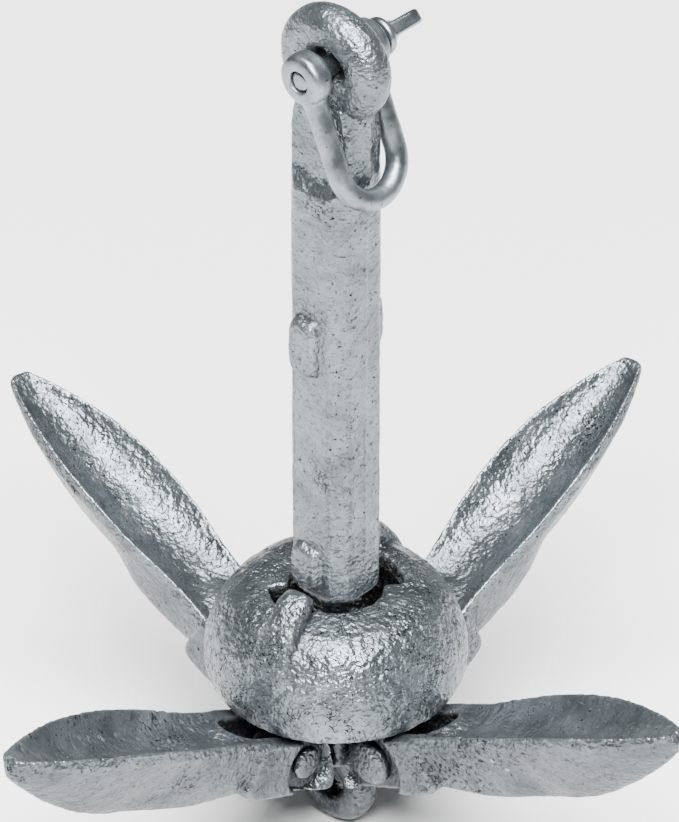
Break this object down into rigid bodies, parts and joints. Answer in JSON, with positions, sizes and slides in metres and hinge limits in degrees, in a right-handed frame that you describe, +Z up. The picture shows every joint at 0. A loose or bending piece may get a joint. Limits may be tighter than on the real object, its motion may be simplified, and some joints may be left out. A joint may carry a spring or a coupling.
{
  "type": "folding grapnel anchor",
  "caption": "Folding grapnel boat anchor: a shank with an eye at each end, pivoting spoon flukes, a sliding locking collar and a screw-pin shackle.",
  "frame": {"origin": "centre of the eye at the head of the shank, on the shackle pin's axis", "axes": "+Z up along the shank from the flukes towards the eye; the eye's hole and the shackle pin run along Y; flukes point along +X, +Y, -X and -Y"},
  "size_m": [0.2522, 0.2529, 0.2657],
  "materials": {
    "galvanised_casting": "hot-dip galvanised casting, satin, orange-peel zinc with pits and darker stains",
    "galvanised_pin": "zinc-coated steel rivet pin, satin",
    "zinc_shackle": "zinc-coated forged steel wire, smooth and fairly bright"
  },
  "bodies": {
    "shank": {"shank": "galvanised_casting"},
    "collar": {"locking_collar": "galvanised_casting"},
    "fluke_1": {"fluke_1": "galvanised_casting", "fluke_pin_1": "galvanised_pin"},
    "fluke_2": {"fluke_2": "galvanised_casting", "fluke_pin_2": "galvanised_pin"},
    "fluke_3": {"fluke_3": "galvanised_casting", "fluke_pin_3": "galvanised_pin"},
    "fluke_4": {"fluke_4": "galvanised_casting", "fluke_pin_4": "galvanised_pin"},
    "shackle": {"shackle_bow": "zinc_shackle"},
    "shackle_pin": {"shackle_pin": "zinc_shackle"}
  },
  "joints": [
    {"name": "collar_slide", "type": "slide", "parent": "shank", "child": "collar", "axis": [0, 0, 1], "range_m": [0, 0.113]},
    {"name": "fluke_1_fold", "type": "hinge", "parent": "shank", "child": "fluke_1", "pos_m": [0.022, 0, -0.2135], "axis": [0, -1, 0], "range_deg": [0, 57.5]},
    {"name": "fluke_2_fold", "type": "hinge", "parent": "shank", "child": "fluke_2", "pos_m": [0, 0.022, -0.2135], "axis": [1, 0, 0], "range_deg": [0, 58.3]},
    {"name": "fluke_3_fold", "type": "hinge", "parent": "shank", "child": "fluke_3", "pos_m": [-0.022, 0, -0.2135], "axis": [0, 1, 0], "range_deg": [0, 59.5]},
    {"name": "fluke_4_fold", "type": "hinge", "parent": "shank", "child": "fluke_4", "pos_m": [0, -0.022, -0.2135], "axis": [-1, 0, 0], "range_deg": [0, 59.5]},
    {"name": "shackle_swing", "type": "hinge", "parent": "shank", "child": "shackle", "pos_m": [0, 0, 0], "axis": [0, -1, 0], "range_deg": [0, 312.5]},
    {"name": "shackle_pin_draw", "type": "slide", "parent": "shackle", "child": "shackle_pin", "axis": [0, 1, 0], "range_m": [0, 0.024]}
  ],
  "couplings": [
    {"joint": "fluke_1_fold", "follows": "collar_slide", "rad_per_m": 8.8039},
    {"joint": "fluke_2_fold", "follows": "collar_slide", "rad_per_m": 8.9274},
    {"joint": "fluke_3_fold", "follows": "collar_slide", "rad_per_m": 9.1128},
    {"joint": "fluke_4_fold", "follows": "collar_slide", "rad_per_m": 9.1128}
  ]
}
